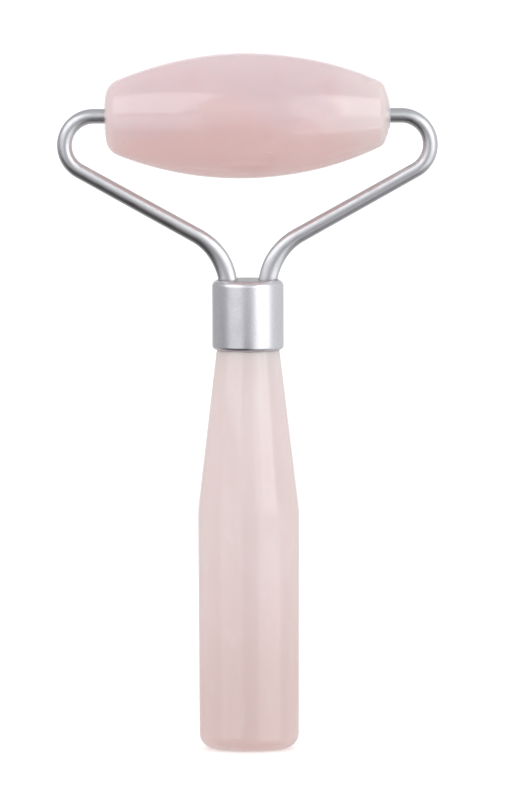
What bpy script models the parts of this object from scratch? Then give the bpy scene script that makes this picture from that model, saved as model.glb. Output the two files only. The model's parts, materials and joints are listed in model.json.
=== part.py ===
"""Face roller: one stone barrel turning between two bent wire arms on a tapered handle.

Metres, +Z up, standing on the flat end of the handle. The origin is the centre of that flat end.
The two arms lie in the XZ plane, the front faces -Y, and the barrel turns about X.
"""
import math

import bmesh
import bpy
from mathutils import Matrix, Vector

MM = 0.001

# Gap kept between pieces that touch or are pressed together on the real object.
SEAT_GAP = 0.3 * MM
# Rounding of small outer edges, and of edges that are only broken.
SMALL_ROUNDING = 0.2 * MM
BROKEN_EDGE = 0.1 * MM

# Barrel: a crowned side, domed ends and a rounded edge between them, ground by hand, so its
# crest is off the middle, its side leans a little from the drilled axis and its ends differ.
AXLE_HEIGHT = 101.95 * MM
BARREL_RADIUS = 10.1 * MM
BARREL_HALF_LENGTH = 23 * MM
BARREL_CROWN_RADIUS = 52.8 * MM
BARREL_CREST_OFFSET = -0.6 * MM
BARREL_LEAN_DEG = 0.7
RIGHT_DOME_RADIUS = 11.2 * MM
RIGHT_EDGE_RADIUS = 2.1 * MM
LEFT_DOME_RADIUS = 26.5 * MM
LEFT_EDGE_RADIUS = 3.1 * MM
BORE_FLOOR = 12 * MM            # distance of each blind bore's floor from the barrel's middle

# Wire arms: stub, outer bend, straight run, inner bend and tail, all on one centreline.
WIRE_RADIUS = 1.2 * MM
ARM_REACH = 29.35 * MM          # outermost point of the centreline
OUTER_BEND_RADIUS = 4.7 * MM
ARM_SLOPE_DEG = 29.1
INNER_BEND_RADIUS = 10 * MM
TAIL_OFFSET = 3.1 * MM
STUB_TIP = 14 * MM
TAIL_TIP_HEIGHT = 65.5 * MM
WIRE_CHAMFER = 0.3 * MM
SWAGED_HALF_WIDTH = 1.5 * MM   # the tail is pressed flatter, so it can't turn in the holder
SWAGED_HALF_DEPTH = 1.05 * MM
SWAGE_START_HEIGHT = 85 * MM
SWAGE_FULL_HEIGHT = 77.5 * MM

# Bushes: flanged plastic sleeves that line the barrel's bores.
BUSH_RUNNING_CLEARANCE = 0.08 * MM
BUSH_SLEEVE_RADIUS = 1.8 * MM
BUSH_FLANGE_RADIUS = 2 * MM
BUSH_FLANGE_FACE = 22.9 * MM
BUSH_FLANGE_THICKNESS = 0.35 * MM
BUSH_INNER_END = 13 * MM
RECESS_RADIUS = BUSH_FLANGE_RADIUS + SEAT_GAP

# Handle: a slightly flared grip below a straight taper, bored from its top.
HANDLE_BASE_RADIUS = 8 * MM
HANDLE_SHOULDER_RADIUS = 8.15 * MM
HANDLE_SHOULDER_HEIGHT = 38.5 * MM
HANDLE_NECK_RADIUS = 5.1 * MM
HANDLE_TOP = 64.1 * MM
HANDLE_BORE_RADIUS = 4.3 * MM
HANDLE_BORE_FLOOR = 52 * MM
HANDLE_BASE_ROUNDING = 2.5 * MM
HANDLE_SHOULDER_ROUNDING = 30 * MM

# Ferrule: a cap with a softly rounded end, holed for the two arms, seated on the handle's top.
FERRULE_RADIUS = 5.75 * MM
FERRULE_BORE_RADIUS = 4.95 * MM
FERRULE_TOP = 75.6 * MM
FERRULE_END_THICKNESS = 1 * MM
FERRULE_BOTTOM = HANDLE_TOP + SEAT_GAP
FERRULE_LIP_ROUNDING = 1 * MM
FERRULE_FOOT_ROUNDING = 0.6 * MM
FERRULE_HOLE_OFFSET = TAIL_OFFSET + 0.08 * MM
FERRULE_HOLE_SLACK = 0.06 * MM  # extra width, as the arms still lean a little where they enter
FERRULE_HOLE_HALF_WIDTH = SWAGED_HALF_WIDTH + SEAT_GAP + FERRULE_HOLE_SLACK
FERRULE_HOLE_HALF_DEPTH = SWAGED_HALF_DEPTH + SEAT_GAP

# Wire holder: a stepped plug inside the ferrule and handle, its head grooved for the tails.
HOLDER_TOP = FERRULE_TOP - FERRULE_END_THICKNESS - SEAT_GAP
HOLDER_HEAD_RADIUS = FERRULE_BORE_RADIUS - SEAT_GAP
HOLDER_SHANK_RADIUS = HANDLE_BORE_RADIUS - SEAT_GAP
HOLDER_BOTTOM = HANDLE_BORE_FLOOR + SEAT_GAP
HOLDER_FOOT_ROUNDING = 0.4 * MM
GROOVE_HALF_DEPTH = SWAGED_HALF_DEPTH + SEAT_GAP
GROOVE_WALL = TAIL_OFFSET - SWAGED_HALF_WIDTH - SEAT_GAP
GROOVE_FLOOR = TAIL_TIP_HEIGHT - SEAT_GAP

# Facets: sides of round pieces, steps along each arc and the turn of one step in a rounding.
BODY_SEGMENTS = 40
BUSH_SEGMENTS = 24
WIRE_SIDES = 16
CROWN_STEPS = 14
DOME_STEPS = 3
EDGE_STEPS = 5
OUTER_BEND_STEPS = 15
INNER_BEND_STEPS = 12
HOLE_SIDES = 20
GROOVE_STEPS = 10
ROUNDING_STEP_DEG = 22
MERGE_DISTANCE = 0.0001 * MM
SHARP_ANGLE_DEG = 35


def clear_scene():
    """Removes whatever the scene holds."""
    for old_object in list(bpy.data.objects):
        bpy.data.objects.remove(old_object)


def principled(name, colour, roughness, metallic=0.0):
    """A Principled material with one colour, roughness and metallic value."""
    material = bpy.data.materials.new(name)
    material.use_nodes = True
    shader = material.node_tree.nodes["Principled BSDF"]
    shader.inputs["Base Color"].default_value = (*colour, 1)
    shader.inputs["Roughness"].default_value = roughness
    shader.inputs["Metallic"].default_value = metallic
    material.diffuse_color = (*colour, 1)
    return material


def arc(centre, radius, start_deg, end_deg, steps):
    """Points along a circular arc, with angles measured from the first axis to the second."""
    points = []
    for step in range(steps + 1):
        angle = math.radians(start_deg + (end_deg - start_deg) * step / steps)
        points.append(centre + radius * Vector((math.cos(angle), math.sin(angle))))
    return points


def bearing(direction):
    """The angle of a direction in degrees, from the first axis to the second."""
    return math.degrees(math.atan2(direction.y, direction.x))


def round_corner(before, corner, after, radius):
    """Points of the tangent arc that replaces an outline's corner."""
    to_before = (before - corner).normalized()
    to_after = (after - corner).normalized()
    half_angle = to_before.angle(to_after) / 2
    centre = corner + (to_before + to_after).normalized() * radius / math.sin(half_angle)
    first = corner + to_before * radius / math.tan(half_angle) - centre
    last = corner + to_after * radius / math.tan(half_angle) - centre
    turn = -first.angle_signed(last)
    steps = max(2, round(abs(math.degrees(turn)) / ROUNDING_STEP_DEG))
    return [centre + Matrix.Rotation(turn * step / steps, 2) @ first for step in range(steps + 1)]


def rounded_outline(corners):
    """A (radius, height) outline through corners given as (radius, height, rounding radius)."""
    places = [Vector(corner[:2]) for corner in corners]
    outline = []
    for index, (_, _, rounding) in enumerate(corners):
        if rounding:
            after = places[(index + 1) % len(places)]
            outline += round_corner(places[index - 1], places[index], after, rounding)
        else:
            outline.append(places[index])
    return outline


def finished_mesh(name, mesh_builder, material=None):
    """Turns a bmesh into a smooth-shaded mesh with its faces pointing out."""
    bmesh.ops.recalc_face_normals(mesh_builder, faces=mesh_builder.faces)
    mesh = bpy.data.meshes.new(name)
    mesh_builder.to_mesh(mesh)
    mesh_builder.free()
    mesh.shade_smooth()
    mesh.set_sharp_from_angle(angle=math.radians(SHARP_ANGLE_DEG))
    if material:
        mesh.materials.append(material)
    return mesh


def turned(name, outline, segments, material):
    """A mesh turned about Z from an outline: a ring if the outline stays off the axis."""
    mesh_builder = bmesh.new()
    points = [mesh_builder.verts.new((radius, 0, height)) for radius, height in outline]
    pairs = list(zip(points, points[1:]))
    if outline[0][0] > 0:
        pairs.append((points[-1], points[0]))
    edges = [mesh_builder.edges.new(pair) for pair in pairs]
    bmesh.ops.spin(mesh_builder, geom=points + edges, axis=(0, 0, 1), angle=math.tau,
                   steps=segments, use_merge=True)
    bmesh.ops.remove_doubles(mesh_builder, verts=mesh_builder.verts, dist=MERGE_DISTANCE)
    return finished_mesh(name, mesh_builder, material)


def place(name, mesh, parent=None, rotation=(0, 0, 0)):
    """Puts a mesh into the scene as a named piece."""
    piece = bpy.data.objects.new(name, mesh)
    bpy.context.collection.objects.link(piece)
    piece.parent = parent
    piece.rotation_euler = rotation
    return piece


def make_axle_empty():
    """The point on the axle that the barrel and its bushes turn about."""
    axle = bpy.data.objects.new("barrel_axle", None)
    bpy.context.collection.objects.link(axle)
    axle.location = (0, 0, AXLE_HEIGHT)
    return axle


def barrel_end_outline(crown_centre, dome_radius, edge_radius):
    """One end of the barrel, from its bore's floor out to where the rounded edge meets the crown.

    The points are (radius, distance from the middle). The rounded edge is tangent to the end's
    dome and to the crown, so its centre is where two circles about their centres meet.
    """
    dome_centre = Vector((0, BARREL_HALF_LENGTH - dome_radius))
    dome_reach = dome_radius - edge_radius
    crown_reach = BARREL_CROWN_RADIUS - edge_radius
    between = crown_centre - dome_centre
    forward = between.normalized()
    along = (dome_reach ** 2 - crown_reach ** 2 + between.length_squared) / (2 * between.length)
    outward = math.sqrt(dome_reach ** 2 - along ** 2)
    edge_centre = dome_centre + along * forward + outward * Vector((forward.y, -forward.x))

    edge_start = bearing(edge_centre - dome_centre)
    edge_end = bearing(edge_centre - crown_centre)
    dome_start = math.degrees(math.acos(RECESS_RADIUS / dome_radius))
    recess_floor = BUSH_FLANGE_FACE - BUSH_FLANGE_THICKNESS - SEAT_GAP
    bore_radius = BUSH_SLEEVE_RADIUS + SEAT_GAP

    outline = [Vector((0, BORE_FLOOR)), Vector((bore_radius, BORE_FLOOR))]
    outline += [Vector((bore_radius, recess_floor)), Vector((RECESS_RADIUS, recess_floor))]
    outline += arc(dome_centre, dome_radius, dome_start, edge_start, DOME_STEPS)
    outline += arc(edge_centre, edge_radius, edge_start, edge_end, EDGE_STEPS)[1:]
    return outline


def make_stone(material, axle):
    """The barrel, turned about its bores, with its ground surface leaning from them."""
    beyond_axis = BARREL_RADIUS - BARREL_CROWN_RADIUS
    crown_centre = Vector((beyond_axis, BARREL_CREST_OFFSET))
    mirrored_centre = Vector((beyond_axis, -BARREL_CREST_OFFSET))
    right_end = barrel_end_outline(crown_centre, RIGHT_DOME_RADIUS, RIGHT_EDGE_RADIUS)
    left_end = barrel_end_outline(mirrored_centre, LEFT_DOME_RADIUS, LEFT_EDGE_RADIUS)
    left_end = [Vector((radius, -distance)) for radius, distance in reversed(left_end)]
    crown_start = bearing(right_end[-1] - crown_centre)
    crown_end = bearing(left_end[0] - crown_centre)
    crown = arc(crown_centre, BARREL_CROWN_RADIUS, crown_start, crown_end, CROWN_STEPS)[1:-1]
    mesh = turned("roller_stone", right_end + crown + left_end, BODY_SEGMENTS, material)

    lean = Matrix.Rotation(-math.radians(BARREL_LEAN_DEG), 3, "Y")
    for vertex in mesh.vertices:
        if vertex.co.xy.length > RECESS_RADIUS + BROKEN_EDGE:
            vertex.co = lean @ vertex.co
    place("roller_stone", mesh, axle, (0, math.pi / 2, 0))


def make_bushes(material, axle):
    """A flanged sleeve in each end of the barrel, both from one mesh."""
    bore_radius = WIRE_RADIUS + BUSH_RUNNING_CLEARANCE
    flange_back = BUSH_FLANGE_FACE - BUSH_FLANGE_THICKNESS
    outline = rounded_outline([
        (bore_radius, BUSH_INNER_END, 0),
        (bore_radius, BUSH_FLANGE_FACE, 0),
        (BUSH_FLANGE_RADIUS, BUSH_FLANGE_FACE, SMALL_ROUNDING),
        (BUSH_FLANGE_RADIUS, flange_back, 0),
        (BUSH_SLEEVE_RADIUS, flange_back, 0),
        (BUSH_SLEEVE_RADIUS, BUSH_INNER_END, SMALL_ROUNDING),
    ])
    mesh = turned("bush", outline, BUSH_SEGMENTS, material)
    for name, side in (("left_bush", -1), ("right_bush", 1)):
        place(name, mesh, axle, (0, side * math.pi / 2, 0))


def arm_centreline():
    """The right arm's centreline as (x, z) points, from the stub's tip to the tail's tip."""
    slope = math.radians(ARM_SLOPE_DEG)
    outer_centre = Vector((ARM_REACH, AXLE_HEIGHT)) - Vector((1, 1)) * OUTER_BEND_RADIUS
    outer_bend = arc(outer_centre, OUTER_BEND_RADIUS, 90, ARM_SLOPE_DEG - 90,
                     OUTER_BEND_STEPS)

    run_start = outer_bend[-1]
    inner_centre_x = TAIL_OFFSET + INNER_BEND_RADIUS
    run_end_x = inner_centre_x - INNER_BEND_RADIUS * math.sin(slope)
    drop = (run_start.x - run_end_x) * math.tan(slope) + INNER_BEND_RADIUS * math.cos(slope)
    inner_centre = Vector((inner_centre_x, run_start.y - drop))
    inner_bend = arc(inner_centre, INNER_BEND_RADIUS, 90 + ARM_SLOPE_DEG, 180,
                     INNER_BEND_STEPS)

    stub = [Vector((STUB_TIP, AXLE_HEIGHT)), Vector((STUB_TIP + WIRE_CHAMFER, AXLE_HEIGHT))]
    tail = [Vector((TAIL_OFFSET, TAIL_TIP_HEIGHT + WIRE_CHAMFER)),
            Vector((TAIL_OFFSET, TAIL_TIP_HEIGHT))]
    return stub + outer_bend + inner_bend + tail


def wire_half_sizes(height):
    """Half the wire's width in the frame's plane and half its depth, at a height."""
    share = (SWAGE_START_HEIGHT - height) / (SWAGE_START_HEIGHT - SWAGE_FULL_HEIGHT)
    share = min(max(share, 0), 1)
    share = share * share * (3 - 2 * share)
    half_width = WIRE_RADIUS + (SWAGED_HALF_WIDTH - WIRE_RADIUS) * share
    half_depth = WIRE_RADIUS + (SWAGED_HALF_DEPTH - WIRE_RADIUS) * share
    return half_width, half_depth


def wire_ring(mesh_builder, point, across, half_width, half_depth, side):
    """One ring of vertices round the centreline, square to it."""
    ring = []
    for corner in range(WIRE_SIDES):
        angle = math.tau * corner / WIRE_SIDES
        x, z = point + across * half_width * math.cos(angle)
        ring.append(mesh_builder.verts.new((side * x, half_depth * math.sin(angle), z)))
    return ring


def make_arm(name, side, material):
    """One wire arm, swept along its centreline. side is 1 on the right and -1 on the left."""
    centreline = arm_centreline()
    last = len(centreline) - 1
    mesh_builder = bmesh.new()
    rings = []
    for index, point in enumerate(centreline):
        before = centreline[max(index - 1, 0)]
        after = centreline[min(index + 1, last)]
        across = Vector((before.y - after.y, after.x - before.x)).normalized()
        half_width, half_depth = wire_half_sizes(point.y)
        if index in (0, last):
            half_width -= WIRE_CHAMFER
            half_depth -= WIRE_CHAMFER
        rings.append(wire_ring(mesh_builder, point, across, half_width, half_depth, side))
    for ring, next_ring in zip(rings, rings[1:]):
        for corner in range(WIRE_SIDES):
            following = (corner + 1) % WIRE_SIDES
            mesh_builder.faces.new(
                (ring[corner], ring[following], next_ring[following], next_ring[corner]))
    mesh_builder.faces.new(rings[0])
    mesh_builder.faces.new(rings[last])
    place(name, finished_mesh(name, mesh_builder, material))


def make_cutter(name, outline, side, bottom, top):
    """An upright prism to cut with. The outline is the right side's; side is -1 on the left."""
    mesh_builder = bmesh.new()
    floor_face = mesh_builder.faces.new(
        [mesh_builder.verts.new((side * x, y, bottom)) for x, y in outline])
    extruded = bmesh.ops.extrude_face_region(mesh_builder, geom=[floor_face])
    raised = [item for item in extruded["geom"] if isinstance(item, bmesh.types.BMVert)]
    bmesh.ops.translate(mesh_builder, verts=raised, vec=(0, 0, top - bottom))
    cutter = place(name, finished_mesh(name, mesh_builder))
    cutter.hide_render = True
    cutter.display_type = "WIRE"
    return cutter


def cut_both_sides(piece, name, outline, bottom, top):
    """Cuts the same prism out of a piece on its left and on its right."""
    for cutter_name, side in (("left_" + name, -1), ("right_" + name, 1)):
        hollow = piece.modifiers.new(cutter_name, "BOOLEAN")
        hollow.operation = "DIFFERENCE"
        hollow.solver = "EXACT"
        hollow.object = make_cutter(cutter_name, outline, side, bottom, top)


def hole_outline():
    """The oval hole for the right arm, seen from above."""
    points = []
    for corner in range(HOLE_SIDES):
        angle = math.tau * corner / HOLE_SIDES
        points.append(Vector((FERRULE_HOLE_OFFSET + FERRULE_HOLE_HALF_WIDTH * math.cos(angle),
                              FERRULE_HOLE_HALF_DEPTH * math.sin(angle))))
    return points


def groove_outline():
    """The groove for the right tail, seen from above: a round inner wall, open outwards."""
    wall_centre = Vector((GROOVE_WALL + GROOVE_HALF_DEPTH, 0))
    outline = arc(wall_centre, GROOVE_HALF_DEPTH, 90, 270, GROOVE_STEPS)
    outline.append(Vector((FERRULE_RADIUS, -GROOVE_HALF_DEPTH)))
    outline.append(Vector((FERRULE_RADIUS, GROOVE_HALF_DEPTH)))
    return outline


def make_ferrule(material):
    """The cap: a thin wall, and a closed end with a soft edge and a hole for each arm."""
    underside = FERRULE_TOP - FERRULE_END_THICKNESS
    outline = rounded_outline([
        (0, underside, 0),
        (FERRULE_BORE_RADIUS, underside, 0),
        (FERRULE_BORE_RADIUS, FERRULE_BOTTOM, BROKEN_EDGE),
        (FERRULE_RADIUS, FERRULE_BOTTOM, FERRULE_FOOT_ROUNDING),
        (FERRULE_RADIUS, FERRULE_TOP, FERRULE_LIP_ROUNDING),
        (0, FERRULE_TOP, 0),
    ])
    ferrule = place("ferrule", turned("ferrule", outline, BODY_SEGMENTS, material))
    cut_both_sides(ferrule, "hole_cutter", hole_outline(), underside - SEAT_GAP, FERRULE_TOP + SEAT_GAP)


def make_wire_holder(material):
    """The stepped plug with a groove down each side for the arms' tails."""
    outline = rounded_outline([
        (0, HOLDER_BOTTOM, 0),
        (HOLDER_SHANK_RADIUS, HOLDER_BOTTOM, HOLDER_FOOT_ROUNDING),
        (HOLDER_SHANK_RADIUS, FERRULE_BOTTOM, 0),
        (HOLDER_HEAD_RADIUS, FERRULE_BOTTOM, 0),
        (HOLDER_HEAD_RADIUS, HOLDER_TOP, SMALL_ROUNDING),
        (0, HOLDER_TOP, 0),
    ])
    holder = place("wire_holder", turned("wire_holder", outline, BODY_SEGMENTS, material))
    cut_both_sides(holder, "groove_cutter", groove_outline(), GROOVE_FLOOR, FERRULE_TOP)


def make_handle(material):
    """The grip, from its flat end up to the bored neck under the ferrule."""
    outline = rounded_outline([
        (0, 0, 0),
        (HANDLE_BASE_RADIUS, 0, HANDLE_BASE_ROUNDING),
        (HANDLE_SHOULDER_RADIUS, HANDLE_SHOULDER_HEIGHT, HANDLE_SHOULDER_ROUNDING),
        (HANDLE_NECK_RADIUS, HANDLE_TOP, SMALL_ROUNDING),
        (HANDLE_BORE_RADIUS, HANDLE_TOP, 0),
        (HANDLE_BORE_RADIUS, HANDLE_BORE_FLOOR, 0),
        (0, HANDLE_BORE_FLOOR, 0),
    ])
    place("handle", turned("handle", outline, BODY_SEGMENTS, material))


def main():
    clear_scene()
    rose_stone = principled("polished_rose_stone", (0.75, 0.57, 0.575), 0.15)
    white_nylon = principled("white_nylon", (0.80, 0.77, 0.77), 0.35)
    steel_wire = principled("steel_wire", (0.69, 0.685, 0.70), 0.3, 1.0)
    satin_aluminium = principled("satin_aluminium", (0.78, 0.78, 0.81), 0.35, 1.0)
    mauve_plug = principled("mauve_plug_plastic", (0.39, 0.31, 0.32), 0.5)
    pale_resin = principled("pale_pink_resin", (0.77, 0.655, 0.64), 0.2)

    axle = make_axle_empty()
    make_stone(rose_stone, axle)
    make_bushes(white_nylon, axle)
    make_arm("left_arm", -1, steel_wire)
    make_arm("right_arm", 1, steel_wire)
    make_ferrule(satin_aluminium)
    make_wire_holder(mauve_plug)
    make_handle(pale_resin)


main()
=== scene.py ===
"""The looks of the face roller: fine meshes, materials, studio light and camera.

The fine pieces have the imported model's dimensions, in metres and in its frame: +Z up, the front
faces -Y and the barrel turns about X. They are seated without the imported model's gaps.
"""
import json
import math

import bmesh
import bpy
from mathutils import Matrix, Quaternion, Vector


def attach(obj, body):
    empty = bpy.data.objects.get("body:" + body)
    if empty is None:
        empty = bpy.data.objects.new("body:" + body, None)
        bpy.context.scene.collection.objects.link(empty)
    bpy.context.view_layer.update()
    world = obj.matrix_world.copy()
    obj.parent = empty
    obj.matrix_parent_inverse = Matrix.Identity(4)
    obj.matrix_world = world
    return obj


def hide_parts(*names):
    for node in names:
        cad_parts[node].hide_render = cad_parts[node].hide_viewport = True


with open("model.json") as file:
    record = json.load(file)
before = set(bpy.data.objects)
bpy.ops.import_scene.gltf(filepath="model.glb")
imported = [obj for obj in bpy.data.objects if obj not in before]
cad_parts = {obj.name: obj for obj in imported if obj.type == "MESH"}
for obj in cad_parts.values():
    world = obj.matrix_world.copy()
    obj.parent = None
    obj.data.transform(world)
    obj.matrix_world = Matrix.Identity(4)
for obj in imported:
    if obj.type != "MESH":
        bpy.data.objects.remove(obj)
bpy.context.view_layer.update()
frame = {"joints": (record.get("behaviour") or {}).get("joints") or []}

MM = 0.001

# Gap left between seated pieces, and the roundings of small and of broken edges.
SEAT_GAP = 0.02 * MM
SMALL_ROUNDING = 0.2 * MM
BROKEN_EDGE = 0.1 * MM

# Barrel: hand-ground, so its crest is off the middle, it leans and its ends differ.
AXLE_HEIGHT = frame["joints"][0]["pos_m"][2]
BARREL_RADIUS = 10.1 * MM
BARREL_HALF_LENGTH = 23 * MM
BARREL_CROWN_RADIUS = 52.8 * MM
BARREL_CREST_OFFSET = -0.6 * MM
BARREL_LEAN_DEG = 0.7
RIGHT_DOME_RADIUS = 11.2 * MM
RIGHT_EDGE_RADIUS = 2.1 * MM
LEFT_DOME_RADIUS = 26.5 * MM
LEFT_EDGE_RADIUS = 3.1 * MM
BORE_FLOOR = 12 * MM
GRINDING_DEPTH = 0.05 * MM      # how far the ground surface waves below its true shape
GRINDING_WAVELENGTH = 17 * MM

# Wire arms: stub, outer bend, straight run, inner bend and tail, all on one centreline.
WIRE_RADIUS = 1.2 * MM
ARM_REACH = 29.35 * MM
OUTER_BEND_RADIUS = 4.7 * MM
ARM_SLOPE_DEG = 29.1
INNER_BEND_RADIUS = 10 * MM
TAIL_OFFSET = 3.1 * MM
STUB_TIP = 14 * MM
TAIL_TIP_HEIGHT = 65.5 * MM
WIRE_CHAMFER = 0.3 * MM
SWAGED_HALF_WIDTH = 1.5 * MM
SWAGED_HALF_DEPTH = 1.05 * MM
SWAGE_START_HEIGHT = 85 * MM
SWAGE_FULL_HEIGHT = 77.5 * MM

# Bushes that line the barrel's bores.
BUSH_BORE_RADIUS = WIRE_RADIUS + 0.08 * MM
BUSH_SLEEVE_RADIUS = 1.8 * MM
BUSH_FLANGE_RADIUS = 2 * MM
BUSH_FLANGE_FACE = 22.9 * MM
BUSH_FLANGE_THICKNESS = 0.35 * MM
BUSH_INNER_END = 13 * MM
RECESS_RADIUS = BUSH_FLANGE_RADIUS + SEAT_GAP

# Ferrule: a cap with a softly rounded end, holed for the two arms.
FERRULE_RADIUS = 5.75 * MM
FERRULE_BORE_RADIUS = 4.95 * MM
FERRULE_BOTTOM = 64.4 * MM
FERRULE_TOP = 75.6 * MM
FERRULE_END_THICKNESS = 1 * MM
FERRULE_LIP_ROUNDING = 1 * MM
FERRULE_FOOT_ROUNDING = 0.6 * MM
FERRULE_HOLE_OFFSET = TAIL_OFFSET + 0.08 * MM
FERRULE_HOLE_GAP = 0.1 * MM
FERRULE_HOLE_HALF_WIDTH = SWAGED_HALF_WIDTH + FERRULE_HOLE_GAP
FERRULE_HOLE_HALF_DEPTH = SWAGED_HALF_DEPTH + FERRULE_HOLE_GAP

# Handle: a slightly flared grip below a straight taper, bored from its top.
HANDLE_BASE_RADIUS = 8 * MM
HANDLE_SHOULDER_RADIUS = 8.15 * MM
HANDLE_SHOULDER_HEIGHT = 38.5 * MM
HANDLE_NECK_RADIUS = 5.1 * MM
HANDLE_NECK_HEIGHT = 64.1 * MM
HANDLE_TOP = FERRULE_BOTTOM - SEAT_GAP
HANDLE_BORE_RADIUS = 4.3 * MM
HANDLE_BORE_FLOOR = 52 * MM
HANDLE_BASE_ROUNDING = 2.5 * MM
HANDLE_SHOULDER_ROUNDING = 15 * MM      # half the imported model's: the skin moves under 0.03 mm

# Wire holder: a stepped plug with a groove for each tail.
HOLDER_TOP = FERRULE_TOP - FERRULE_END_THICKNESS - SEAT_GAP
HOLDER_HEAD_RADIUS = FERRULE_BORE_RADIUS - SEAT_GAP
HOLDER_SHANK_RADIUS = HANDLE_BORE_RADIUS - SEAT_GAP
HOLDER_BOTTOM = HANDLE_BORE_FLOOR + SEAT_GAP
HOLDER_FOOT_ROUNDING = 0.4 * MM
GROOVE_HALF_DEPTH = SWAGED_HALF_DEPTH + SEAT_GAP
GROOVE_WALL = TAIL_OFFSET - SWAGED_HALF_WIDTH - SEAT_GAP
GROOVE_FLOOR = TAIL_TIP_HEIGHT - SEAT_GAP

# Facets: sides of round pieces, steps along each arc and the turn of one step in a rounding.
BODY_SEGMENTS = 160
BUSH_SEGMENTS = 72
WIRE_SIDES = 40
CROWN_STEPS = 90
DOME_STEPS = 12
EDGE_STEPS = 14
OUTER_BEND_STEPS = 48
INNER_BEND_STEPS = 40
HOLE_SIDES = 64
GROOVE_STEPS = 24
ROUNDING_STEP_DEG = 6
MERGE_DISTANCE = 0.0001 * MM
SHARP_ANGLE_DEG = 40

# Colours, as linear red, green and blue.
STONE_MAUVE = (0.73, 0.565, 0.585)
STONE_PEACH = (0.765, 0.56, 0.55)
# The ends' milky colour is partly the stone's own and partly painted light.
STONE_MILKY_AND_LIT = (0.78, 0.70, 0.69)
STONE_DEEP = (0.72, 0.49, 0.48)
STONE_WISP = (0.85, 0.74, 0.73)
STONE_VEIN = (0.90, 0.80, 0.77)
STONE_SPECK = (0.36, 0.24, 0.22)
# The drift runs down the resting stone, mauve at its top and peach at its bottom: painted light, a
# cool tint on the lit top and a warm tint on the underside.
STONE_PAINTED_LIGHT_DRIFT = 35                # how fast the mauve turns to peach across the stone, per metre
RESIN_WARM = (0.765, 0.645, 0.63)
RESIN_PALE = (0.80, 0.685, 0.68)
RESIN_PEACHY = (0.76, 0.61, 0.58)
RESIN_DEEP = (0.695, 0.535, 0.515)
RESIN_SWIRL = (0.84, 0.78, 0.77)
STEEL_DARK = (0.645, 0.655, 0.67)
STEEL_LIGHT = (0.745, 0.755, 0.77)
STEEL_CLOUD = (0.565, 0.57, 0.59)
DRAWN_LINES = (60, 250, 1)      # how many fit round the wire, and in a metre of it
ALUMINIUM_DARK = (0.74, 0.74, 0.77)
ALUMINIUM_LIGHT = (0.84, 0.84, 0.87)
ALUMINIUM_BLOTCH = (0.72, 0.72, 0.74)
# The end's dark mauve is painted shade, tinted by a painted reflection of the pink stone.
ALUMINIUM_SHADED_END = (0.30, 0.27, 0.28)
# The plug's dark mauve is painted shade: the look of its recess in shadow.
PLUG_DARK = (0.34, 0.27, 0.28)
PLUG_LIGHT = (0.44, 0.35, 0.36)
NYLON_DARK = (0.76, 0.72, 0.72)
NYLON_LIGHT = (0.84, 0.81, 0.81)
FLOOR_DARK = (0.90, 0.90, 0.90)
FLOOR_LIGHT = (0.94, 0.94, 0.94)

# The tent that lights the object, and the dimmer room that polished surfaces mirror.
TENT_LEFT_LOW = (1.01, 0.95, 0.93)
TENT_LEFT_HIGH = (0.98, 1.03, 1.06)
TENT_RIGHT_LOW = (1.26, 1.18, 1.14)
TENT_RIGHT_HIGH = (1.12, 1.14, 1.16)
TENT_FAR_LEFT = (1.36, 1.34, 1.34)
TENT_BEHIND = (1.45, 1.41, 1.40)
ROOM_LEFT = (0.46, 0.46, 0.47)
ROOM_MIDDLE = (0.53, 0.53, 0.55)
ROOM_AHEAD = (0.96, 0.96, 0.98)
ROOM_RIGHT = (0.72, 0.72, 0.73)
ROOM_BEHIND = (0.95, 0.95, 0.96)
TABLE_LEFT_NEAR = (0.06, 0.05, 0.052)
TABLE_LEFT_FAR = (0.66, 0.65, 0.65)
TABLE_RIGHT_NEAR = (0.23, 0.22, 0.23)
TABLE_RIGHT_FAR = (0.70, 0.69, 0.69)

# Sockets of a Mix node that mixes colours.
MIX_COLOUR_INPUTS = (6, 7)
MIX_COLOUR_OUTPUT = 2

# Camera: level with the object but for a slight look down, and a long lens.
CAMERA_AIM = Vector((1.57, 0, 56.2)) * MM
CAMERA_ELEVATION_DEG = 4.8
CAMERA_ROLL_DEG = -0.18
CAMERA_DISTANCE = 2.5
VIEW_HEIGHT = 128.5 * MM
SENSOR_SIZE = 36

# Softboxes: how far they stand, and an area light's power for a radiance and an area of 1.
SOFTBOX_DISTANCE = 0.8
AREA_LIGHT_POWER = 4
# Each one's name, azimuths, elevations, radiance, roll and colour, with every angle in degrees.
SOFTBOXES = (
    ("left_softbox", (-80, -22), (14, 54), 0.92, 0, (0.97, 0.97, 1.0)),
    ("left_low_panel", (-67, -15), (-22, 9), 0.4, 0, (0.97, 0.96, 1.0)),
    ("right_softbox", (37, 72), (2, 46), 1.04, -8, (1.0, 1.0, 1.0)),
    ("near_right_panel", (18, 40), (2, 42), 0.62, -8, (1.0, 1.0, 1.0)),
    ("right_low_panel", (22, 77), (-34, 4), 0.52, 0, (0.97, 0.98, 1.0)),
)

# Floor: its size, the size of its faint mottling and how much it shines of itself.
FLOOR_RADIUS = 14
FLOOR_SEGMENTS = 96
FLOOR_MOTTLING = 300 * MM
FLOOR_GLOW = 0.15


# ---- Meshes ----

def arc(centre, radius, start_deg, end_deg, steps):
    """Points along a circular arc, with angles measured from the first axis to the second."""
    points = []
    for step in range(steps + 1):
        angle = math.radians(start_deg + (end_deg - start_deg) * step / steps)
        points.append(centre + radius * Vector((math.cos(angle), math.sin(angle))))
    return points


def bearing(direction):
    """The angle of a direction in degrees, from the first axis to the second."""
    return math.degrees(math.atan2(direction.y, direction.x))


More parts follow.
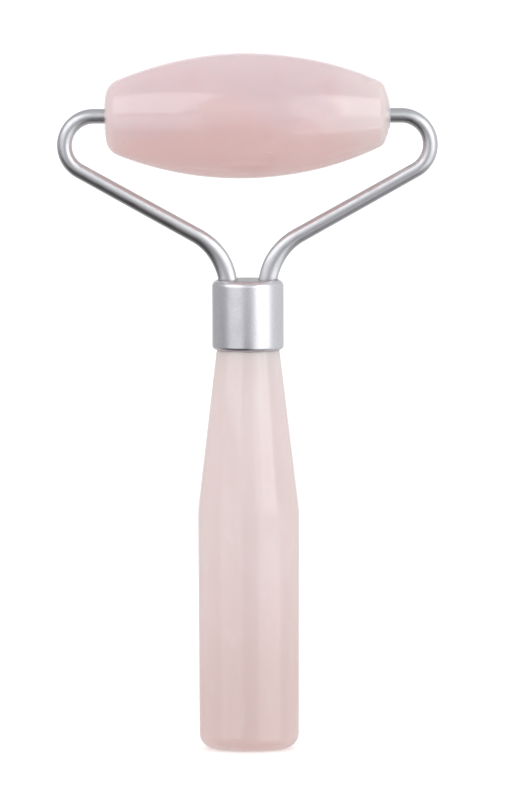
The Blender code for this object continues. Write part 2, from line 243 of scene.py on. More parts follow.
def round_corner(before, corner, after, radius):
    """Points of the tangent arc that replaces an outline's corner."""
    to_before = (before - corner).normalized()
    to_after = (after - corner).normalized()
    half_angle = to_before.angle(to_after) / 2
    centre = corner + (to_before + to_after).normalized() * radius / math.sin(half_angle)
    first = corner + to_before * radius / math.tan(half_angle) - centre
    last = corner + to_after * radius / math.tan(half_angle) - centre
    turn = -first.angle_signed(last)
    steps = max(3, round(abs(math.degrees(turn)) / ROUNDING_STEP_DEG))
    return [centre + Matrix.Rotation(turn * step / steps, 2) @ first for step in range(steps + 1)]


def rounded_outline(corners):
    """A (radius, height) outline through corners given as (radius, height, rounding radius)."""
    places = [Vector(corner[:2]) for corner in corners]
    outline = []
    for index, (_, _, rounding) in enumerate(corners):
        if rounding:
            after = places[(index + 1) % len(places)]
            outline += round_corner(places[index - 1], places[index], after, rounding)
        else:
            outline.append(places[index])
    return outline


def finished_mesh(name, mesh_builder, material=None):
    """Turns a bmesh into a smooth-shaded mesh with its faces pointing out."""
    bmesh.ops.recalc_face_normals(mesh_builder, faces=mesh_builder.faces)
    mesh = bpy.data.meshes.new(name)
    mesh_builder.to_mesh(mesh)
    mesh_builder.free()
    mesh.shade_smooth()
    mesh.set_sharp_from_angle(angle=math.radians(SHARP_ANGLE_DEG))
    if material:
        mesh.materials.append(material)
    return mesh


def turned(name, outline, segments, material):
    """A mesh turned about Z from an outline: a ring if the outline stays off the axis."""
    mesh_builder = bmesh.new()
    points = [mesh_builder.verts.new((radius, 0, height)) for radius, height in outline]
    pairs = list(zip(points, points[1:]))
    if outline[0][0] > 0:
        pairs.append((points[-1], points[0]))
    edges = [mesh_builder.edges.new(pair) for pair in pairs]
    bmesh.ops.spin(mesh_builder, geom=points + edges, axis=(0, 0, 1), angle=math.tau,
                   steps=segments, use_merge=True)
    bmesh.ops.remove_doubles(mesh_builder, verts=mesh_builder.verts, dist=MERGE_DISTANCE)
    return finished_mesh(name, mesh_builder, material)


def place(name, mesh, location=(0, 0, 0), rotation=(0, 0, 0)):
    """Puts a mesh into the scene as a named piece."""
    piece = bpy.data.objects.new(name, mesh)
    bpy.context.scene.collection.objects.link(piece)
    piece.location = location
    piece.rotation_euler = rotation
    return piece


def settle(piece, body, node):
    """Hands a piece to the body it rides on and hides the imported node it stands for."""
    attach(piece, body)
    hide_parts(node)


def barrel_end_outline(crown_centre, dome_radius, edge_radius):
    """One end of the barrel, from its bore's floor out to where the rounded edge meets the crown."""
    dome_centre = Vector((0, BARREL_HALF_LENGTH - dome_radius))
    dome_reach = dome_radius - edge_radius
    crown_reach = BARREL_CROWN_RADIUS - edge_radius
    between = crown_centre - dome_centre
    forward = between.normalized()
    along = (dome_reach ** 2 - crown_reach ** 2 + between.length_squared) / (2 * between.length)
    outward = math.sqrt(dome_reach ** 2 - along ** 2)
    edge_centre = dome_centre + along * forward + outward * Vector((forward.y, -forward.x))

    edge_start = bearing(edge_centre - dome_centre)
    edge_end = bearing(edge_centre - crown_centre)
    dome_start = math.degrees(math.acos(RECESS_RADIUS / dome_radius))
    recess_floor = BUSH_FLANGE_FACE - BUSH_FLANGE_THICKNESS - SEAT_GAP
    bore_radius = BUSH_SLEEVE_RADIUS + SEAT_GAP

    outline = [Vector((0, BORE_FLOOR)), Vector((bore_radius, BORE_FLOOR))]
    outline += [Vector((bore_radius, recess_floor)), Vector((RECESS_RADIUS, recess_floor))]
    outline += arc(dome_centre, dome_radius, dome_start, edge_start, DOME_STEPS)
    outline += arc(edge_centre, edge_radius, edge_start, edge_end, EDGE_STEPS)[1:]
    return outline


def ground_by_hand(point):
    """Sinks a point of the barrel's surface by the shallow waves that hand grinding leaves."""
    angle = math.atan2(point.y, point.x)
    travel = math.tau * point.z / GRINDING_WAVELENGTH
    wave = math.sin(2 * angle + travel) + math.sin(3 * angle - 0.7 * travel + 1)
    depth = GRINDING_DEPTH * (2 + wave) / 4
    return Vector((point.x, point.y, 0)).normalized() * -depth


def make_stone(material):
    """The barrel, turned about its bores, with its ground surface leaning from them."""
    beyond_axis = BARREL_RADIUS - BARREL_CROWN_RADIUS
    crown_centre = Vector((beyond_axis, BARREL_CREST_OFFSET))
    mirrored_centre = Vector((beyond_axis, -BARREL_CREST_OFFSET))
    right_end = barrel_end_outline(crown_centre, RIGHT_DOME_RADIUS, RIGHT_EDGE_RADIUS)
    left_end = barrel_end_outline(mirrored_centre, LEFT_DOME_RADIUS, LEFT_EDGE_RADIUS)
    left_end = [Vector((radius, -distance)) for radius, distance in reversed(left_end)]
    crown_start = bearing(right_end[-1] - crown_centre)
    crown_end = bearing(left_end[0] - crown_centre)
    crown = arc(crown_centre, BARREL_CROWN_RADIUS, crown_start, crown_end, CROWN_STEPS)[1:-1]
    mesh = turned("roller_stone_fine", right_end + crown + left_end, BODY_SEGMENTS, material)

    lean = Matrix.Rotation(-math.radians(BARREL_LEAN_DEG), 3, "Y")
    for vertex in mesh.vertices:
        if vertex.co.xy.length > RECESS_RADIUS + BROKEN_EDGE:
            vertex.co = lean @ (vertex.co + ground_by_hand(vertex.co))
    stone = place("polished_stone", mesh, (0, 0, AXLE_HEIGHT), (0, math.pi / 2, 0))
    settle(stone, "barrel", "roller_stone")


def make_bushes(material):
    """A flanged sleeve in each end of the barrel."""
    flange_back = BUSH_FLANGE_FACE - BUSH_FLANGE_THICKNESS
    outline = rounded_outline([
        (BUSH_BORE_RADIUS, BUSH_INNER_END, 0),
        (BUSH_BORE_RADIUS, BUSH_FLANGE_FACE, BROKEN_EDGE),
        (BUSH_FLANGE_RADIUS, BUSH_FLANGE_FACE, SMALL_ROUNDING),
        (BUSH_FLANGE_RADIUS, flange_back, 0),
        (BUSH_SLEEVE_RADIUS, flange_back, 0),
        (BUSH_SLEEVE_RADIUS, BUSH_INNER_END, SMALL_ROUNDING),
    ])
    mesh = turned("bush_fine", outline, BUSH_SEGMENTS, material)
    for node, side in (("left_bush", -1), ("right_bush", 1)):
        bush = place(node + "_moulded", mesh, (0, 0, AXLE_HEIGHT), (0, side * math.pi / 2, 0))
        settle(bush, "barrel", node)


def arm_centreline():
    """The right arm's centreline as (x, z) points, from the stub's tip to the tail's tip."""
    slope = math.radians(ARM_SLOPE_DEG)
    outer_centre = Vector((ARM_REACH, AXLE_HEIGHT)) - Vector((1, 1)) * OUTER_BEND_RADIUS
    outer_bend = arc(outer_centre, OUTER_BEND_RADIUS, 90, ARM_SLOPE_DEG - 90,
                     OUTER_BEND_STEPS)

    run_start = outer_bend[-1]
    inner_centre_x = TAIL_OFFSET + INNER_BEND_RADIUS
    run_end_x = inner_centre_x - INNER_BEND_RADIUS * math.sin(slope)
    drop = (run_start.x - run_end_x) * math.tan(slope) + INNER_BEND_RADIUS * math.cos(slope)
    inner_centre = Vector((inner_centre_x, run_start.y - drop))
    inner_bend = arc(inner_centre, INNER_BEND_RADIUS, 90 + ARM_SLOPE_DEG, 180,
                     INNER_BEND_STEPS)

    stub = [Vector((STUB_TIP, AXLE_HEIGHT)), Vector((STUB_TIP + WIRE_CHAMFER, AXLE_HEIGHT))]
    tail = [Vector((TAIL_OFFSET, TAIL_TIP_HEIGHT + WIRE_CHAMFER)),
            Vector((TAIL_OFFSET, TAIL_TIP_HEIGHT))]
    return stub + outer_bend + inner_bend + tail


def wire_half_sizes(height):
    """Half the wire's width in the frame's plane and half its depth, at a height."""
    share = (SWAGE_START_HEIGHT - height) / (SWAGE_START_HEIGHT - SWAGE_FULL_HEIGHT)
    share = min(max(share, 0), 1)
    share = share * share * (3 - 2 * share)
    half_width = WIRE_RADIUS + (SWAGED_HALF_WIDTH - WIRE_RADIUS) * share
    half_depth = WIRE_RADIUS + (SWAGED_HALF_DEPTH - WIRE_RADIUS) * share
    return half_width, half_depth


def wire_ring(mesh_builder, point, across, half_width, half_depth, side):
    """One ring of vertices round the centreline, square to it."""
    ring = []
    for corner in range(WIRE_SIDES):
        angle = math.tau * corner / WIRE_SIDES
        x, z = point + across * half_width * math.cos(angle)
        ring.append(mesh_builder.verts.new((side * x, half_depth * math.sin(angle), z)))
    return ring


def skin_rings(mesh_builder, rings, travels):
    """Faces between the rings, with UVs of (share of the way round, distance along)."""
    drawn = mesh_builder.loops.layers.uv.new("drawn")
    stations = list(zip(rings, travels))
    for (ring, travel), (next_ring, next_travel) in zip(stations, stations[1:]):
        for corner in range(WIRE_SIDES):
            following = (corner + 1) % WIRE_SIDES
            face = mesh_builder.faces.new(
                (ring[corner], ring[following], next_ring[following], next_ring[corner]))
            low = corner / WIRE_SIDES
            high = (corner + 1) / WIRE_SIDES
            marks = ((low, travel), (high, travel), (high, next_travel), (low, next_travel))
            for loop, mark in zip(face.loops, marks):
                loop[drawn].uv = mark
    mesh_builder.faces.new(rings[0])
    mesh_builder.faces.new(rings[-1])


def make_arm(node, side, material):
    """One wire arm, swept along its centreline. side is 1 on the right and -1 on the left."""
    centreline = arm_centreline()
    last = len(centreline) - 1
    mesh_builder = bmesh.new()
    rings = []
    travels = []
    travel = 0
    for index, point in enumerate(centreline):
        before = centreline[max(index - 1, 0)]
        after = centreline[min(index + 1, last)]
        across = Vector((before.y - after.y, after.x - before.x)).normalized()
        half_width, half_depth = wire_half_sizes(point.y)
        if index in (0, last):
            half_width -= WIRE_CHAMFER
            half_depth -= WIRE_CHAMFER
        rings.append(wire_ring(mesh_builder, point, across, half_width, half_depth, side))
        travel += (point - before).length
        travels.append(travel)
    skin_rings(mesh_builder, rings, travels)
    arm = place(node + "_wire", finished_mesh(node + "_fine", mesh_builder, material))
    settle(arm, "handle_and_frame", node)


def make_cutter(outline, side, bottom, top):
    """An upright prism to cut with. The outline is the right side's; side is -1 on the left."""
    mesh_builder = bmesh.new()
    floor_face = mesh_builder.faces.new(
        [mesh_builder.verts.new((side * x, y, bottom)) for x, y in outline])
    extruded = bmesh.ops.extrude_face_region(mesh_builder, geom=[floor_face])
    raised = [item for item in extruded["geom"] if isinstance(item, bmesh.types.BMVert)]
    bmesh.ops.translate(mesh_builder, verts=raised, vec=(0, 0, top - bottom))
    return place("cutter", finished_mesh("cutter", mesh_builder))


def cut_both_sides(piece, outline, bottom, top):
    """Cuts the same prism out of a piece for good, on its left and on its right."""
    cutters = [make_cutter(outline, side, bottom, top) for side in (-1, 1)]
    for cutter in cutters:
        hollow = piece.modifiers.new("hollow", "BOOLEAN")
        hollow.operation = "DIFFERENCE"
        hollow.solver = "EXACT"
        hollow.object = cutter
    evaluated = piece.evaluated_get(bpy.context.evaluated_depsgraph_get())
    piece.data = bpy.data.meshes.new_from_object(evaluated)
    piece.data.set_sharp_from_angle(angle=math.radians(SHARP_ANGLE_DEG))
    piece.modifiers.clear()
    for cutter in cutters:
        bpy.data.objects.remove(cutter)


def hole_outline():
    """The oval hole for the right arm, seen from above."""
    points = []
    for corner in range(HOLE_SIDES):
        angle = math.tau * corner / HOLE_SIDES
        points.append(Vector((FERRULE_HOLE_OFFSET + FERRULE_HOLE_HALF_WIDTH * math.cos(angle),
                              FERRULE_HOLE_HALF_DEPTH * math.sin(angle))))
    return points


def groove_outline():
    """The groove for the right tail, seen from above: a round inner wall, open outwards."""
    wall_centre = Vector((GROOVE_WALL + GROOVE_HALF_DEPTH, 0))
    outline = arc(wall_centre, GROOVE_HALF_DEPTH, 90, 270, GROOVE_STEPS)
    outline.append(Vector((FERRULE_RADIUS, -GROOVE_HALF_DEPTH)))
    outline.append(Vector((FERRULE_RADIUS, GROOVE_HALF_DEPTH)))
    return outline


def make_ferrule(material):
    """The cap: a thin wall, and a closed end with a soft edge and a hole for each arm."""
    underside = FERRULE_TOP - FERRULE_END_THICKNESS
    outline = rounded_outline([
        (0, underside, 0),
        (FERRULE_BORE_RADIUS, underside, 0),
        (FERRULE_BORE_RADIUS, FERRULE_BOTTOM, BROKEN_EDGE),
        (FERRULE_RADIUS, FERRULE_BOTTOM, FERRULE_FOOT_ROUNDING),
        (FERRULE_RADIUS, FERRULE_TOP, FERRULE_LIP_ROUNDING),
        (0, FERRULE_TOP, 0),
    ])
    ferrule = place("blasted_ferrule", turned("ferrule_fine", outline, BODY_SEGMENTS, material))
    cut_both_sides(ferrule, hole_outline(), underside - BROKEN_EDGE, FERRULE_TOP + BROKEN_EDGE)
    settle(ferrule, "handle_and_frame", "ferrule")


def make_wire_holder(material):
    """The stepped plug with a groove down each side for the arms' tails."""
    outline = rounded_outline([
        (0, HOLDER_BOTTOM, 0),
        (HOLDER_SHANK_RADIUS, HOLDER_BOTTOM, HOLDER_FOOT_ROUNDING),
        (HOLDER_SHANK_RADIUS, FERRULE_BOTTOM, 0),
        (HOLDER_HEAD_RADIUS, FERRULE_BOTTOM, 0),
        (HOLDER_HEAD_RADIUS, HOLDER_TOP, SMALL_ROUNDING),
        (0, HOLDER_TOP, 0),
    ])
    holder = place("grooved_plug", turned("wire_holder_fine", outline, BODY_SEGMENTS, material))
    cut_both_sides(holder, groove_outline(), GROOVE_FLOOR, FERRULE_TOP)
    settle(holder, "handle_and_frame", "wire_holder")


def make_handle(material):
    """The grip, from its flat end up to the bored neck under the ferrule."""
    outline = rounded_outline([
        (0, 0, 0),
        (HANDLE_BASE_RADIUS, 0, HANDLE_BASE_ROUNDING),
        (HANDLE_SHOULDER_RADIUS, HANDLE_SHOULDER_HEIGHT, HANDLE_SHOULDER_ROUNDING),
        (HANDLE_NECK_RADIUS, HANDLE_NECK_HEIGHT, 0),
        (HANDLE_NECK_RADIUS - BROKEN_EDGE, HANDLE_TOP, 0),
        (HANDLE_BORE_RADIUS, HANDLE_TOP, 0),
        (HANDLE_BORE_RADIUS, HANDLE_BORE_FLOOR, 0),
        (0, HANDLE_BORE_FLOOR, 0),
    ])
    handle = place("resin_grip", turned("handle_fine", outline, BODY_SEGMENTS, material))
    settle(handle, "handle_and_frame", "handle")


# ---- Materials ----

class Nodes:
    """A node tree under construction, with the steps that materials and the world share."""

    def __init__(self, tree):
        self.tree = tree

    def feed(self, socket, value):
        """Links a node's output to a socket, or sets the socket's own value."""
        if isinstance(value, bpy.types.NodeSocket):
            self.tree.links.new(value, socket)
        else:
            socket.default_value = value

    def ranged(self, value, low, high, to_low=0.0, to_high=1.0):
        """Maps low..high to to_low..to_high with soft ends."""
        mapper = self.tree.nodes.new("ShaderNodeMapRange")
        mapper.interpolation_type = "SMOOTHSTEP"
        self.feed(mapper.inputs["Value"], value)
        self.feed(mapper.inputs["From Min"], low)
        self.feed(mapper.inputs["From Max"], high)
        self.feed(mapper.inputs["To Min"], to_low)
        self.feed(mapper.inputs["To Max"], to_high)
        return mapper.outputs["Result"]

    def product(self, first, second):
        """Two values multiplied."""
        maths = self.tree.nodes.new("ShaderNodeMath")
        maths.operation = "MULTIPLY"
        self.feed(maths.inputs[0], first)
        self.feed(maths.inputs[1], second)
        return maths.outputs["Value"]

    def blend(self, share, first, second):
        """A colour between two colours, each a tuple or a node's output."""
        mixer = self.tree.nodes.new("ShaderNodeMix")
        mixer.data_type = "RGBA"
        self.feed(mixer.inputs["Factor"], share)
        for index, colour in zip(MIX_COLOUR_INPUTS, (first, second)):
            if isinstance(colour, tuple):
                colour = (*colour, 1)
            self.feed(mixer.inputs[index], colour)
        return mixer.outputs[MIX_COLOUR_OUTPUT]


class Surface(Nodes):
    """A material under construction: a Principled shader and the nodes that feed it."""

    def __init__(self, name, roughness, metallic=0.0, ior=1.5, specular=0.5):
        self.material = bpy.data.materials.new(name)
        self.material.use_nodes = True
        super().__init__(self.material.node_tree)
        self.shader = self.tree.nodes["Principled BSDF"]
        self.feed(self.shader.inputs["Metallic"], metallic)
        self.feed(self.shader.inputs["Roughness"], roughness)
        self.feed(self.shader.inputs["IOR"], ior)
        self.feed(self.shader.inputs["Specular IOR Level"], specular)
        coordinates = self.tree.nodes.new("ShaderNodeTexCoord")
        self.place = coordinates.outputs["Object"]
        self.uv = coordinates.outputs["UV"]

    def stretched(self, where, scale):
        """Coordinates multiplied by a scale along each axis."""
        mapping = self.tree.nodes.new("ShaderNodeMapping")
        self.feed(mapping.inputs["Vector"], where)
        self.feed(mapping.inputs["Scale"], scale)
        return mapping.outputs["Vector"]

    def noise(self, where, size, detail=3.0):
        """Noise between 0 and 1 whose features are about size metres across."""
        texture = self.tree.nodes.new("ShaderNodeTexNoise")
        self.feed(texture.inputs["Vector"], where)
        self.feed(texture.inputs["Scale"], 1 / size)
        self.feed(texture.inputs["Detail"], detail)
        return texture.outputs["Fac"]

    def shifted(self, where, size, reach):
        """Coordinates pushed about by noise, by up to reach metres."""
        texture = self.tree.nodes.new("ShaderNodeTexNoise")
        self.feed(texture.inputs["Vector"], where)
        self.feed(texture.inputs["Scale"], 1 / size)
        push = self.tree.nodes.new("ShaderNodeVectorMath")
        push.operation = "MULTIPLY_ADD"
        self.feed(push.inputs[0], texture.outputs["Color"])
        self.feed(push.inputs[1], (reach, reach, reach))
        self.feed(push.inputs[2], where)
        return push.outputs["Vector"]

    def cells(self, where, size, feature):
        """Voronoi distances: F1 from the cells' centres, DISTANCE_TO_EDGE from their walls."""
        texture = self.tree.nodes.new("ShaderNodeTexVoronoi")
        texture.feature = feature
        self.feed(texture.inputs["Vector"], where)
        self.feed(texture.inputs["Scale"], 1 / size)
        return texture.outputs["Distance"]

    def along(self, axis):
        """How far a point lies from the piece's origin along one of the piece's own axes."""
        split = self.tree.nodes.new("ShaderNodeSeparateXYZ")
        self.feed(split.inputs["Vector"], self.place)
        return split.outputs[axis]

    def sum(self, first, second, weight):
        """first plus weight times second."""
        maths = self.tree.nodes.new("ShaderNodeMath")
        maths.operation = "MULTIPLY_ADD"
        self.feed(maths.inputs[0], second)
        self.feed(maths.inputs[1], weight)
        self.feed(maths.inputs[2], first)
        return maths.outputs["Value"]

    def colour(self, value):
        """Gives the shader its colour."""
        self.feed(self.shader.inputs["Base Color"], value)

    def roughness(self, value):
        """Gives the shader a roughness that varies."""
        self.feed(self.shader.inputs["Roughness"], value)

    def scattering(self, weight, scale, radius):
        """Light that enters and leaves again: radius is the reach of red, green and blue."""
        self.shader.subsurface_method = "RANDOM_WALK"
        self.feed(self.shader.inputs["Subsurface Weight"], weight)
        self.feed(self.shader.inputs["Subsurface Scale"], scale)
        self.feed(self.shader.inputs["Subsurface Radius"], radius)

    def bump(self, height, depth):
        """Raises the surface by up to depth metres, on top of any bump added before."""
        bump = self.tree.nodes.new("ShaderNodeBump")
        self.feed(bump.inputs["Height"], height)
        self.feed(bump.inputs["Distance"], depth)
        self.feed(bump.inputs["Strength"], 1.0)
        normal = self.shader.inputs["Normal"]
        if normal.is_linked:
            self.feed(bump.inputs["Normal"], normal.links[0].from_socket)
        self.feed(normal, bump.outputs["Normal"])


def rose_stone():
    """Cloudy pink stone, polished: mauve at the top turning to peach at the bottom, which is painted
    light; ends milky and paler, partly painted light; wisps, healed veins.
    """
    surface = Surface("polished_rose_stone", 0.15, ior=1.54, specular=1.0)
    bent = surface.shifted(surface.place, size=12 * MM, reach=8 * MM)
    clouds = surface.noise(bent, 16 * MM, detail=2.0)
    # Painted light: the clouds shift to mauve on the top and to peach on the underside while the
    # barrel rests.
    clouds = surface.sum(clouds, surface.along("X"), STONE_PAINTED_LIGHT_DRIFT)
    colour = surface.blend(surface.ranged(clouds, 0.3, 0.7), STONE_MAUVE, STONE_PEACH)
    outward = surface.sum(surface.along("Z"), surface.noise(bent, 9 * MM), 6 * MM)
    # Paler towards the ends, the right end most: partly milky stone, partly painted light standing
    # in for the brighter right side and the light through the thin ends.
    colour = surface.blend(surface.ranged(outward, 13 * MM, 27 * MM, 0, 0.75), colour, STONE_MILKY_AND_LIT)
    colour = surface.blend(surface.ranged(outward, -12 * MM, -21 * MM, 0, 0.35), colour, STONE_MILKY_AND_LIT)
    deep = surface.noise(surface.place, 7 * MM, detail=2.0)
    colour = surface.blend(surface.ranged(deep, 0.55, 0.7, 0, 0.35), colour, STONE_DEEP)
    drawn_out = surface.shifted(surface.place, size=7 * MM, reach=4 * MM)
    drawn_out = surface.stretched(drawn_out, (1, 1, 0.3))
    wisps = surface.noise(drawn_out, 5 * MM, detail=5.0)
    colour = surface.blend(surface.ranged(wisps, 0.5, 0.8, 0, 0.3), colour, STONE_WISP)
    walls = surface.cells(drawn_out, 15 * MM, "DISTANCE_TO_EDGE")
    broken = surface.ranged(surface.noise(surface.place, 6 * MM), 0.56, 0.66)
    veins = surface.product(surface.ranged(walls, 0.002, 0.014, 0.35, 0), broken)
    colour = surface.blend(veins, colour, STONE_VEIN)
    centres = surface.cells(surface.place, 8 * MM, "F1")
    colour = surface.blend(surface.ranged(centres, 0.012, 0.03, 0.5, 0), colour, STONE_SPECK)
    surface.colour(colour)
    polish = surface.noise(surface.place, 3 * MM, detail=4.0)
    surface.roughness(surface.ranged(polish, 0.3, 0.7, 0.12, 0.18))
    surface.scattering(0.75, 3.5 * MM, (1.0, 0.75, 0.72))
    surface.bump(surface.noise(surface.place, 2.2 * MM), 0.006 * MM)
    return surface.material


def handle_resin():
    """Cast pale pink resin: faint clouds, peachy patches, a soft gloss with slight ripples."""
    surface = Surface("pale_pink_resin", 0.15, specular=0.9)
    tall = surface.shifted(surface.place, size=20 * MM, reach=10 * MM)
    tall = surface.stretched(tall, (1, 1, 0.35))
    clouds = surface.ranged(surface.noise(tall, 10 * MM), 0.35, 0.65)
    colour = surface.blend(clouds, RESIN_WARM, RESIN_PALE)
    patches = surface.noise(surface.place, 13 * MM, detail=2.0)
    colour = surface.blend(surface.ranged(patches, 0.5, 0.75, 0, 0.6), colour, RESIN_PEACHY)
    # Darker and deeper pink towards the foot.
    towards_foot = surface.ranged(surface.along("Z"), 5 * MM, 36 * MM, 0.85, 0)
    colour = surface.blend(towards_foot, colour, RESIN_DEEP)
    swirls = surface.noise(tall, 2.5 * MM, detail=4.0)
    colour = surface.blend(surface.ranged(swirls, 0.55, 0.8, 0, 0.2), colour, RESIN_SWIRL)
    surface.colour(colour)
    polish = surface.noise(surface.place, 2 * MM, detail=4.0)
    surface.roughness(surface.ranged(polish, 0.3, 0.7, 0.12, 0.18))
    surface.scattering(0.6, 2.5 * MM, (1.0, 0.8, 0.78))
    surface.bump(surface.noise(tall, 3 * MM, detail=2.0), 0.01 * MM)
    surface.bump(surface.noise(surface.place, 0.35 * MM, detail=2.0), 0.0006 * MM)
    return surface.material


def steel_wire():
    """Drawn steel, satin polished: fine lines along the wire and a slightly uneven sheen."""
    surface = Surface("satin_steel_wire", 0.36, metallic=1.0)
    lines = surface.noise(surface.stretched(surface.uv, DRAWN_LINES), size=1.0)
    cloudy = surface.noise(surface.place, 1.5 * MM)
    colour = surface.blend(lines, STEEL_DARK, STEEL_LIGHT)
    surface.colour(surface.blend(surface.ranged(cloudy, 0.4, 0.8, 0, 0.3), colour, STEEL_CLOUD))
    surface.roughness(surface.ranged(cloudy, 0.3, 0.7, 0.32, 0.40))
    surface.bump(lines, 0.0008 * MM)
    return surface.material


def satin_aluminium():
    """Blasted and anodised aluminium: an even satin with a fine grain; its flat end painted dark
    mauve, which is painted shade with a painted reflection of the pink stone.
    """
    surface = Surface("blasted_aluminium", 0.33, metallic=1.0)
    grain = surface.noise(surface.place, 0.22 * MM)
    blotches = surface.noise(surface.place, 2.2 * MM)
    colour = surface.blend(surface.ranged(grain, 0.3, 0.7), ALUMINIUM_DARK, ALUMINIUM_LIGHT)
    colour = surface.blend(surface.ranged(blotches, 0.4, 0.8, 0, 0.35), colour, ALUMINIUM_BLOTCH)
    # Painted shade on the flat end, tinted by a painted reflection of the pink stone.
    end = surface.ranged(surface.along("Z"), FERRULE_TOP - BROKEN_EDGE, FERRULE_TOP, 0, 0.9)
    surface.colour(surface.blend(end, colour, ALUMINIUM_SHADED_END))
    surface.roughness(surface.ranged(blotches, 0.3, 0.7, 0.29, 0.37))
    surface.bump(grain, 0.004 * MM)
    return surface.material


def holder_plastic():
    """The plug's plastic in the dark mauve of a shaded recess, which is painted shade, with a
    moulded grain.
    """
    surface = Surface("shaded_mauve_plug", 0.5)
    grain = surface.noise(surface.place, 0.3 * MM)
    # Painted shade: the dark mauve of a shadowed recess, put on the plug.
    surface.colour(surface.blend(grain, PLUG_DARK, PLUG_LIGHT))
    surface.roughness(surface.ranged(grain, 0.3, 0.7, 0.42, 0.6))
    surface.bump(grain, 0.01 * MM)
    return surface.material


def white_nylon():
    """Milky moulded nylon."""
    surface = Surface("milky_nylon", 0.35)
    grain = surface.noise(surface.place, 0.25 * MM)
    surface.colour(surface.blend(grain, NYLON_DARK, NYLON_LIGHT))
    surface.roughness(surface.ranged(grain, 0.3, 0.7, 0.3, 0.42))
    surface.scattering(0.5, 0.8 * MM, (1.0, 0.9, 0.9))
    surface.bump(grain, 0.003 * MM)
    return surface.material


# ---- Stage ----

def make_floor():
    """A wide pale floor. Polished pieces don't mirror it, so their undersides stay dark."""
    bpy.ops.mesh.primitive_circle_add(vertices=FLOOR_SEGMENTS, radius=FLOOR_RADIUS,
                                      fill_type="NGON")
    floor = bpy.context.object
    floor.name = "pale_floor"
    surface = Surface("pale_floor_paint", 0.9, specular=0.0)
    mottling = surface.noise(surface.place, FLOOR_MOTTLING)
    surface.colour(surface.blend(mottling, FLOOR_DARK, FLOOR_LIGHT))
    surface.feed(surface.shader.inputs["Emission Color"], (1, 1, 1, 1))
    surface.feed(surface.shader.inputs["Emission Strength"], FLOOR_GLOW)
    surface.material.cycles.emission_sampling = "NONE"
    floor.data.materials.append(surface.material)
    floor.visible_glossy = False
    floor.visible_diffuse = False


def make_softbox(name, azimuths_deg, elevations_deg, radiance, roll_deg, colour):
    """A panel that polished surfaces mirror, between two azimuths (90 is right) and elevations."""
    azimuth = math.radians(sum(azimuths_deg) / 2)
    elevation = math.radians(sum(elevations_deg) / 2)
    half_width = math.tan(math.radians(azimuths_deg[1] - azimuths_deg[0]) / 2)
    half_height = math.tan(math.radians(elevations_deg[1] - elevations_deg[0]) / 2)
    towards = Vector((math.sin(azimuth) * math.cos(elevation),
                      -math.cos(azimuth) * math.cos(elevation), math.sin(elevation)))
    light = bpy.data.lights.new(name, "AREA")
    light.shape = "RECTANGLE"
    light.size = 2 * half_width * SOFTBOX_DISTANCE
    light.size_y = 2 * half_height * SOFTBOX_DISTANCE
    light.energy = radiance * light.size * light.size_y * AREA_LIGHT_POWER
    light.color = colour
    softbox = bpy.data.objects.new(name, light)
    bpy.context.scene.collection.objects.link(softbox)
    softbox.location = CAMERA_AIM + towards * SOFTBOX_DISTANCE
    roll = Quaternion((0, 0, 1), math.radians(roll_deg))
    softbox.rotation_euler = (towards.to_track_quat("Z", "Y") @ roll).to_euler()
    softbox.visible_camera = False
    softbox.visible_diffuse = False


class Sky(Nodes):
    """The world under construction: nodes that work on the direction a ray leaves in."""

    def __init__(self):
        world = bpy.data.worlds.new("studio_room")
        bpy.context.scene.world = world
        world.use_nodes = True
        super().__init__(world.node_tree)
        self.background = self.tree.nodes["Background"]
        direction = self.tree.nodes.new("ShaderNodeTexCoord").outputs["Generated"]
        split = self.tree.nodes.new("ShaderNodeSeparateXYZ")
        self.feed(split.inputs["Vector"], direction)
        self.right = split.outputs["X"]
        self.back = split.outputs["Y"]
        self.up = split.outputs["Z"]


def pale_tent(sky):
    """What lights the object: even and pale, and brighter on the far left, right and behind."""
    rising = sky.ranged(sky.up, -1.0, 0.8)
    left = sky.blend(rising, TENT_LEFT_LOW, TENT_LEFT_HIGH)
    right = sky.blend(rising, TENT_RIGHT_LOW, TENT_RIGHT_HIGH)
    tent = sky.blend(sky.ranged(sky.right, -0.9, 0.9), left, right)
    tent = sky.blend(sky.ranged(sky.right, -0.45, -0.95), tent, TENT_FAR_LEFT)
    return sky.blend(sky.ranged(sky.back, 0.0, 0.7), tent, TENT_BEHIND)


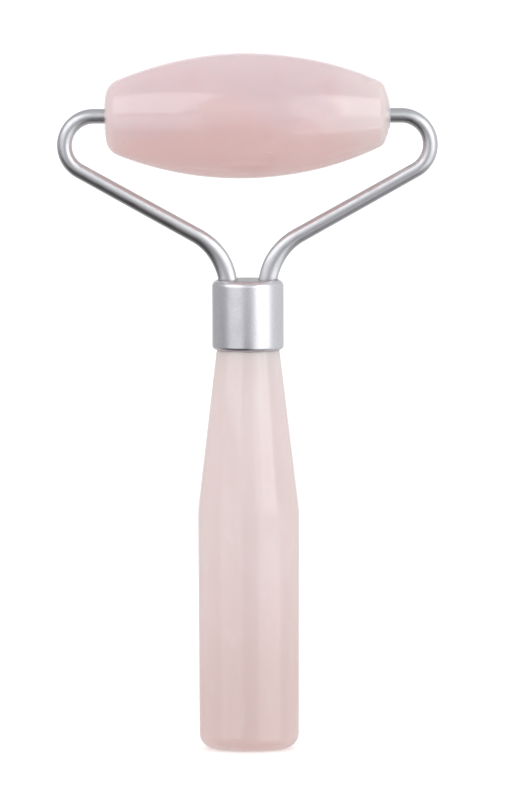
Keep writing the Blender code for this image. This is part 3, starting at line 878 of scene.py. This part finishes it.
def dim_room(sky):
    """What polished surfaces mirror: a dimmer room, over a table that is dark near its front."""
    room = sky.blend(sky.ranged(sky.right, -0.6, 0.0), ROOM_LEFT, ROOM_MIDDLE)
    ahead = sky.ranged(sky.back, -0.78, -0.96)
    raised = sky.ranged(sky.up, 0.05, 0.35)
    room = sky.blend(sky.product(ahead, raised), room, ROOM_AHEAD)
    room = sky.blend(sky.ranged(sky.right, 0.1, 0.8), room, ROOM_RIGHT)
    receding = sky.ranged(sky.back, -0.2, 0.75)
    table_left = sky.blend(receding, TABLE_LEFT_NEAR, TABLE_LEFT_FAR)
    table_right = sky.blend(receding, TABLE_RIGHT_NEAR, TABLE_RIGHT_FAR)
    room_left = sky.blend(sky.ranged(sky.up, -0.06, -0.36), room, table_left)
    room_right = sky.blend(sky.ranged(sky.up, -0.4, -0.85), room, table_right)
    room = sky.blend(sky.ranged(sky.right, 0.02, 0.25), room_left, room_right)
    return sky.blend(sky.ranged(sky.back, 0.86, 0.97), room, ROOM_BEHIND)


def make_world():
    """Shows the tent to matt surfaces and the room to polished ones."""
    sky = Sky()
    mirrored = sky.tree.nodes.new("ShaderNodeLightPath").outputs["Is Glossy Ray"]
    seen = sky.blend(mirrored, pale_tent(sky), dim_room(sky))
    sky.feed(sky.background.inputs["Color"], seen)


def make_camera():
    """Looks at the front of the roller, almost level."""
    data = bpy.data.cameras.new("camera")
    data.sensor_width = SENSOR_SIZE
    data.lens = SENSOR_SIZE * CAMERA_DISTANCE / VIEW_HEIGHT
    camera = bpy.data.objects.new("camera", data)
    bpy.context.scene.collection.objects.link(camera)
    elevation = math.radians(CAMERA_ELEVATION_DEG)
    towards = Vector((0, -math.cos(elevation), math.sin(elevation)))
    tilt = Matrix.Rotation(math.pi / 2 - elevation, 4, "X")
    roll = Matrix.Rotation(math.radians(CAMERA_ROLL_DEG), 4, "Z")
    camera.matrix_world = Matrix.Translation(CAMERA_AIM + towards * CAMERA_DISTANCE) @ tilt @ roll
    bpy.context.scene.camera = camera


def make_stage():
    """The floor, the light and the camera, with colours shown as they are."""
    make_floor()
    make_world()
    for softbox in SOFTBOXES:
        make_softbox(*softbox)
    make_camera()
    bpy.context.scene.view_settings.view_transform = "Standard"


def main():
    """Builds every piece, then the stage."""
    make_stone(rose_stone())
    make_bushes(white_nylon())
    steel = steel_wire()
    make_arm("left_arm", -1, steel)
    make_arm("right_arm", 1, steel)
    make_ferrule(satin_aluminium())
    make_wire_holder(holder_plastic())
    make_handle(handle_resin())
    make_stage()


main()
